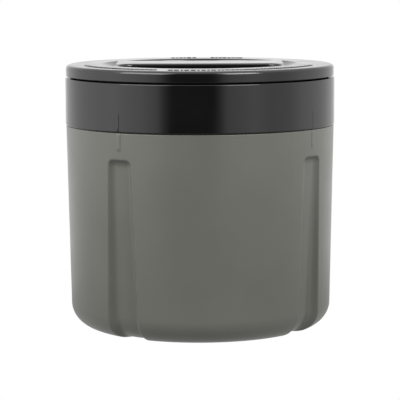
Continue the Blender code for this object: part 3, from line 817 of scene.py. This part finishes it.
def make_lid(plastic):
    verts, faces = [], []
    for part_verts, part_faces in (make_dish(), make_pocket(1), make_pocket(-1), make_lid_shell()):
        start = len(verts)
        verts += list(part_verts)
        faces += [tuple(start + i for i in face) for face in part_faces]
    lid = mesh_object("lid_top", verts, faces)
    combine(lid, bolt_slots(POCKET_RADIUS - SLOT_OVERLAP, BOWL_RADIUS + SLOT_OVERLAP), "DIFFERENCE")
    shade(lid)
    finish_piece(lid, plastic, "lid", "lid_plastic", "lid_cover")


def rim_mark(middle, length):
    """A plain raised bar that follows the rim, with chamfered shoulders. Its end rings lie in the rim."""
    inner, outer, shoulder = RIM_MARK_INNER, RIM_MARK_OUTER, RIM_MARK_SHOULDER
    reach = length / 2 / outer
    shares = (-1.0, -1.0, -0.9, 0.0, 0.9, 1.0, 1.0)
    rings = []
    for i, share in enumerate(shares):
        angle = middle + reach * share
        high = RIM_MARK_HEIGHT if abs(share) < 1 else shoulder
        section = [(inner, -shoulder), (outer, -shoulder), (outer, shoulder),
                   (outer - RIM_MARK_CHAMFER, high), (inner + RIM_MARK_CHAMFER, high), (inner, shoulder)]
        if i in (0, len(shares) - 1):
            section = [(r, min(z, RIM_MARK_SUNK)) for r, z in section]
        rings.append([(r * math.cos(angle), r * math.sin(angle), rim_height(r) + z) for r, z in section])
    verts, faces = skin(rings, False)
    count = len(rings[0])
    faces += [tuple(range(count)), tuple(range(len(verts) - 1, len(verts) - count - 1, -1))]
    return mesh_object("mark", verts, faces)


def make_rim_marks(plastic):
    """Groups of plain bars of uneven length round the rim, where the real lid has raised lettering."""
    chance = random.Random(11)
    marks = []
    for start, end in RIM_MARK_GROUPS:
        angle = math.radians(start)
        while angle < math.radians(end):
            length = chance.uniform(*RIM_MARK_LENGTHS)
            reach = length / RIM_MARK_MIDDLE
            marks.append(rim_mark(angle + reach / 2, length))
            angle += reach + chance.uniform(*RIM_MARK_SPACES) / RIM_MARK_MIDDLE
    obj = joined("rim_marks", marks)
    shade(obj, 50.0)
    finish_piece(obj, plastic, "lid", "lid_plastic")


def make_lid_plug(plastic, screw_holes):
    """The lid's lower half: a flange, and a threaded plug closed from below."""
    profile = rounded([
        (0.0, PLUG_FLOOR_TOP, 0.0), (PLUG_BORE, PLUG_FLOOR_TOP, 1.0), (PLUG_BORE, PLUG_HIGH.z, 0.4),
        (PLUG_HIGH.y, PLUG_HIGH.z, 0.4), (PLUG_HIGH.y, FLANGE_UNDERSIDE, 0.5),
        (PLUG_RADIUS, FLANGE_UNDERSIDE, 0.6), (PLUG_RADIUS, PLUG_LOW.z, 1.2), (0.0, PLUG_LOW.z, 0.0),
    ], cyclic=False, steps_per_mm=3.0)
    plug = turned("lid_plug", profile, cyclic=False)
    combine(plug, thread_ribs(PLUG_RADIUS, LID_RIB_RADIUS, THREAD_LOW - LID_RIB_DROP), "UNION")
    slots = bolt_slots(PLUG_BORE - SLOT_OVERLAP, LID_RIB_RADIUS + GAP)
    combine(plug, slots + screw_holes, "DIFFERENCE")
    shade(plug)
    finish_piece(plug, plastic, "lid", "inner_plastic", "lid_base")


def make_seal(rubber):
    outer, high, low = SEAL_HIGH.y, SEAL_HIGH.z, SEAL_LOW.z
    corners = ((SEAL_BORE, high), (outer, high), (outer, low), (SEAL_BORE, low))
    profile = rounded([(*corner, SEAL_FILLET) for corner in corners], steps_per_mm=6.0)
    seal = turned("seal_ring", profile)
    shade(seal)
    finish_piece(seal, rubber, "seal", "seal_rubber", "lid_seal")


# ---------------------------------------------------------------- locks

def make_lock(side, bolt_plastic, keeper_plastic):
    """A slide bolt whose thumb tab has grip ridges, and the guide that it runs in."""
    facing = 1.0 if side == "front" else -1.0
    bar_top = BOLT_LOW.z + BOLT_BAR_HEIGHT
    tab_back = BOLT_HIGH.y
    tab_front = tab_back - TAB_THICKNESS
    valley = BOLT_HIGH.z - RIDGE_HEIGHT
    ridges = []
    for i in range(RIDGES):
        start = tab_front + TAB_MARGIN + RIDGE_PITCH * i
        ridges += [(start, valley, 0.2), (start + RIDGE_FLANK, BOLT_HIGH.z, 0.25),
                   (start + 2 * RIDGE_FLANK, BOLT_HIGH.z, 0.25), (start + 3 * RIDGE_FLANK, valley, 0.2)]
    corners = [(BOLT_LOW.y, BOLT_LOW.z, 0.8), (tab_back, BOLT_LOW.z, 0.8), (tab_back, valley, 0.0)]
    corners += reversed(ridges)
    corners += [(tab_front, valley, 0.0), (tab_front, bar_top, 1.2), (BOLT_LOW.y, bar_top, 1.0)]
    outline = rounded(corners)
    bolt = extruded(f"bolt_{side}", outline, BOLT_HIGH.x, lambda u, v, w: (w * facing, u * facing, v))
    edges = bolt.modifiers.new("edges", "BEVEL")
    edges.width = BOLT_EDGE * MM
    edges.segments = 3
    edges.limit_method = "ANGLE"
    edges.angle_limit = math.radians(60.0)
    shade(bolt)
    finish_piece(bolt, bolt_plastic, f"{side}_lock", "lock_plastic", f"lock_bolt_{side}")

    low = (KEEPER_LOW.x, KEEPER_LOW.y, KEEPER_LOW.z)
    high = (KEEPER_HIGH.x, KEEPER_HIGH.y, KEEPER_HIGH.z)
    if side == "back":
        low, high = (low[0], -high[1], low[2]), (high[0], -low[1], high[2])
    keeper = rounded_box(f"keeper_{side}", low, high, KEEPER_EDGE)
    combine(keeper, bolt_slots(POCKET_RADIUS - SLOT_OVERLAP, PLUG_BORE), "DIFFERENCE")
    shade(keeper)
    finish_piece(keeper, keeper_plastic, "lid", "inner_plastic", f"lock_keeper_{side}")


# ---------------------------------------------------------------- screws

def screw_frame(node):
    """Where a screw's head face is, the way its shank points, and its length, from its CAD box."""
    low, high = box_mm(node)
    centre = (low + high) / 2
    if not node.startswith("collar"):
        return Vector((centre.x, centre.y, low.z)), Vector((0.0, 0.0, 1.0)), high.z - low.z
    outward = Vector((centre.x, centre.y, 0.0)).normalized()
    return outward * BORE_RADIUS + Vector((0.0, 0.0, centre.z)), outward, COLLAR_SCREW_LENGTH


def screw_matrix(head, direction):
    return Matrix.Translation(head * MM) @ direction.to_track_quat("Z", "Y").to_matrix().to_4x4()


def screw_hole(node):
    """A countersunk clearance hole for a screw, as a cutter."""
    head, direction, length = screw_frame(node)
    shank, mouth = SHANK_RADIUS + GAP, HEAD_RADIUS + GAP
    profile = [(0.0, length + GAP), (shank, length + GAP), (shank, HEAD_DEPTH + GAP),
               (mouth, 0.1), (mouth, -HOLE_MOUTH), (0.0, -HOLE_MOUTH)]
    hole = turned("hole", profile, HOLE_COLUMNS, cyclic=False)
    hole.data.transform(screw_matrix(head, direction))
    return hole


def make_screw(node, steel):
    """A countersunk socket screw with a ribbed shank."""
    head, direction, length = screw_frame(node)
    angles = np.linspace(0, 2 * math.pi, SCREW_COLUMNS, endpoint=False)
    apothem = HEX_RADIUS * math.cos(math.pi / 6)
    hexagon = apothem / np.cos(angles % (math.pi / 3) - math.pi / 6)
    rows = [(0.0, HEX_DEPTH + HEX_CONE), (hexagon, HEX_DEPTH), (hexagon, HEX_CHAMFER),
            (hexagon + HEX_CHAMFER, 0.0)]
    rows += [(HEAD_RADIUS - inset, depth) for inset, depth in HEAD_EDGE] + [(SHANK_RADIUS, HEAD_DEPTH)]
    turns = int((length - HEAD_DEPTH - SCREW_THREAD_START - SCREW_TIP) / SCREW_PITCH)
    for i in range(turns):
        height = HEAD_DEPTH + SCREW_THREAD_START + SCREW_PITCH * i
        rows += [(SHANK_RADIUS - SCREW_THREAD_DEPTH, height), (SHANK_RADIUS, height + SCREW_PITCH * 0.45)]
    rows += [(SHANK_RADIUS - SCREW_TIP_CHAMFER, length), (0.0, length)]
    rings = [around_axis(r, angles, z) for r, z in rows]
    screw = mesh_object(node + "_fine", *skin(rings, False))
    screw.data.transform(screw_matrix(head, direction))
    shade(screw)
    body = "canister" if node.startswith("collar") else "lid"
    finish_piece(screw, steel, body, "screw_steel", node)


def screw_nodes(kind):
    return sorted(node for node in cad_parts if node.startswith(kind + "_screw_"))


# ---------------------------------------------------------------- studio

def look_at(obj, target):
    obj.rotation_euler = (Vector(target) - obj.location).to_track_quat("-Z", "Y").to_euler()


def softbox(name, azimuth, elevation, distance, width, height, radiance):
    """A rectangular light. Azimuth 0 is on the camera's side, and it grows towards +X."""
    light = bpy.data.lights.new(name, "AREA")
    light.shape = "RECTANGLE"
    light.size = width
    light.size_y = height
    light.energy = radiance * math.pi * width * height
    obj = bpy.data.objects.new(name, light)
    bpy.context.scene.collection.objects.link(obj)
    a, e = math.radians(azimuth), math.radians(elevation)
    obj.location = (distance * math.sin(a) * math.cos(e), -distance * math.cos(a) * math.cos(e),
                    distance * math.sin(e) + SOFTBOX_TARGET)
    look_at(obj, (0.0, 0.0, SOFTBOX_TARGET))
    obj.visible_camera = False


def maths(tree, operation, first, second=0.0):
    """A maths node on two sockets or numbers."""
    node = tree.nodes.new("ShaderNodeMath")
    node.operation = operation
    for socket, value in zip(node.inputs, (first, second)):
        if isinstance(value, float):
            socket.default_value = value
        else:
            tree.links.new(value, socket)
    return node.outputs[0]


def graded(tree, value, low, high, stops):
    """Grey that follows (value, radiance) stops between two limits, as a share of the brightest."""
    ramp = tree.nodes.new("ShaderNodeValToRGB")
    share = tree.nodes.new("ShaderNodeMapRange")
    share.inputs["From Min"].default_value = low
    share.inputs["From Max"].default_value = high
    tree.links.new(value, share.inputs["Value"])
    tree.links.new(share.outputs["Result"], ramp.inputs["Fac"])
    elements = ramp.color_ramp.elements
    while len(elements) < len(stops):
        elements.new(0.5)
    for element, (place, radiance) in zip(elements, stops):
        element.position = (place - low) / (high - low)
        element.color = (*[radiance / BRIGHTEST] * 3, 1.0)
    return ramp.outputs["Color"]


def mixed(tree, factor, first, second):
    """A mix of two colours, each a socket or a colour."""
    mix = tree.nodes.new("ShaderNodeMix")
    mix.data_type = "RGBA"
    tree.links.new(factor, mix.inputs["Factor"])
    for socket, colour in ((mix.inputs["A"], first), (mix.inputs["B"], second)):
        if isinstance(colour, tuple):
            socket.default_value = colour
        else:
            tree.links.new(colour, socket)
    return mix.outputs["Result"]


def make_world():
    """White walls all round the set, brighter overhead, with a dark gap on the camera's side."""
    world = bpy.data.worlds.new("studio")
    bpy.context.scene.world = world
    world.use_nodes = True
    tree = world.node_tree
    tree.nodes.clear()

    direction = tree.nodes.new("ShaderNodeSeparateXYZ")
    tree.links.new(tree.nodes.new("ShaderNodeTexCoord").outputs["Generated"], direction.inputs[0])
    x, y, z = direction.outputs
    azimuth = maths(tree, "ARCTAN2", x, maths(tree, "MULTIPLY", y, -1.0))
    walls = graded(tree, azimuth, -math.pi, math.pi, [(math.radians(a), level) for a, level in WALLS])
    overhead = tree.nodes.new("ShaderNodeMapRange")
    overhead.interpolation_type = "SMOOTHSTEP"
    overhead.inputs["From Min"].default_value = math.sin(math.radians(OVERHEAD_FROM))
    overhead.inputs["From Max"].default_value = math.sin(math.radians(OVERHEAD_FULL))
    tree.links.new(z, overhead.inputs["Value"])
    ceiling = (*[OVERHEAD / BRIGHTEST] * 3, 1.0)

    lit = tree.nodes.new("ShaderNodeBackground")
    lit.inputs["Strength"].default_value = BRIGHTEST
    tree.links.new(mixed(tree, overhead.outputs["Result"], walls, ceiling), lit.inputs["Color"])
    backdrop = tree.nodes.new("ShaderNodeBackground")
    backdrop.inputs["Color"].default_value = (1.0, 1.0, 1.0, 1.0)
    choose = tree.nodes.new("ShaderNodeMixShader")
    tree.links.new(tree.nodes.new("ShaderNodeLightPath").outputs["Is Camera Ray"], choose.inputs[0])
    tree.links.new(lit.outputs[0], choose.inputs[1])
    tree.links.new(backdrop.outputs[0], choose.inputs[2])
    output = tree.nodes.new("ShaderNodeOutputWorld")
    tree.links.new(choose.outputs[0], output.inputs["Surface"])


def make_floor():
    """A round light table: white to look at, while its glow on the canister is uneven."""
    material = bpy.data.materials.new("light_table")
    material.use_nodes = True
    tree = material.node_tree
    tree.nodes.remove(tree.nodes["Principled BSDF"])
    spot = tree.nodes.new("ShaderNodeSeparateXYZ")
    tree.links.new(tree.nodes.new("ShaderNodeTexCoord").outputs["Object"], spot.inputs[0])
    x, y, _ = spot.outputs
    squares = [maths(tree, "MULTIPLY", along, along) for along in (x, y)]
    reach = maths(tree, "SQRT", maths(tree, "ADD", *squares))
    backward = maths(tree, "ADD", maths(tree, "DIVIDE", maths(tree, "DIVIDE", y, reach), 2.0), 0.5)
    span = FLOOR_RADIUS * MM
    front, back = [graded(tree, reach, 0.0, span, stops) for stops in (FLOOR_FRONT, FLOOR_BACK)]
    glow = tree.nodes.new("ShaderNodeEmission")
    glow.inputs["Strength"].default_value = BRIGHTEST
    white = (*[1.0 / BRIGHTEST] * 3, 1.0)
    seen = tree.nodes.new("ShaderNodeLightPath").outputs["Is Camera Ray"]
    tree.links.new(mixed(tree, seen, mixed(tree, backward, front, back), white), glow.inputs["Color"])
    tree.links.new(glow.outputs[0], tree.nodes["Material Output"].inputs["Surface"])
    material.cycles.emission_sampling = "NONE"
    edge = FLOOR_RADIUS + FLOOR_EDGE
    profile = [(0.0, -FLOOR_DROP), (FLOOR_RADIUS, -FLOOR_DROP), (edge, -FLOOR_EDGE),
               (edge, -FLOOR_THICKNESS), (0.0, -FLOOR_THICKNESS)]
    floor = turned("floor", profile, FLOOR_COLUMNS, cyclic=False)
    floor.data.materials.append(material)


def make_camera():
    """A long lens at table height, looking slightly down on the lid."""
    data = bpy.data.cameras.new("camera")
    data.lens = CAMERA_LENS
    data.sensor_width = 36.0
    data.clip_start = 0.05
    data.clip_end = 50.0
    camera = bpy.data.objects.new("camera", data)
    bpy.context.scene.collection.objects.link(camera)
    turn = Matrix.Rotation(math.radians(CAMERA_YAW), 4, "Z")
    pitch = Matrix.Rotation(math.radians(90.0 - CAMERA_DOWN), 4, "X")
    roll = Matrix.Rotation(math.radians(CAMERA_ROLL), 4, "Z")
    camera.matrix_world = Matrix.Translation(CAMERA_PLACE) @ turn @ pitch @ roll
    bpy.context.scene.camera = camera


def make_studio():
    make_world()
    for box in SOFTBOXES:
        softbox(*box)
    make_floor()
    make_camera()
    scene = bpy.context.scene
    scene.view_settings.view_transform = "Standard"
    scene.cycles.use_denoising = True


# ---------------------------------------------------------------- assembly

def main():
    tub_plastic = make_tub_plastic()
    collar_plastic = make_black_plastic("black_collar_plastic", 0.12, 0.002)
    lid_plastic = make_black_plastic("black_lid_plastic", 0.15, 0.002)
    inner_plastic = make_black_plastic("black_inner_plastic", 0.42, 0.015)
    bolt_plastic = make_black_plastic("black_bolt_plastic", 0.36, 0.010)
    rubber = make_rubber()
    steel = make_steel()

    make_tub(tub_plastic, [screw_hole(node) for node in screw_nodes("collar")])
    make_collar(collar_plastic)
    make_lid(lid_plastic)
    make_rim_marks(lid_plastic)
    lid_holes = [screw_hole(node) for node in screw_nodes("lid") + screw_nodes("keeper")]
    make_lid_plug(inner_plastic, lid_holes)
    make_seal(rubber)
    for side in ("front", "back"):
        make_lock(side, bolt_plastic, inner_plastic)
    for node in screw_nodes("collar") + screw_nodes("lid") + screw_nodes("keeper"):
        make_screw(node, steel)
    make_studio()


main()
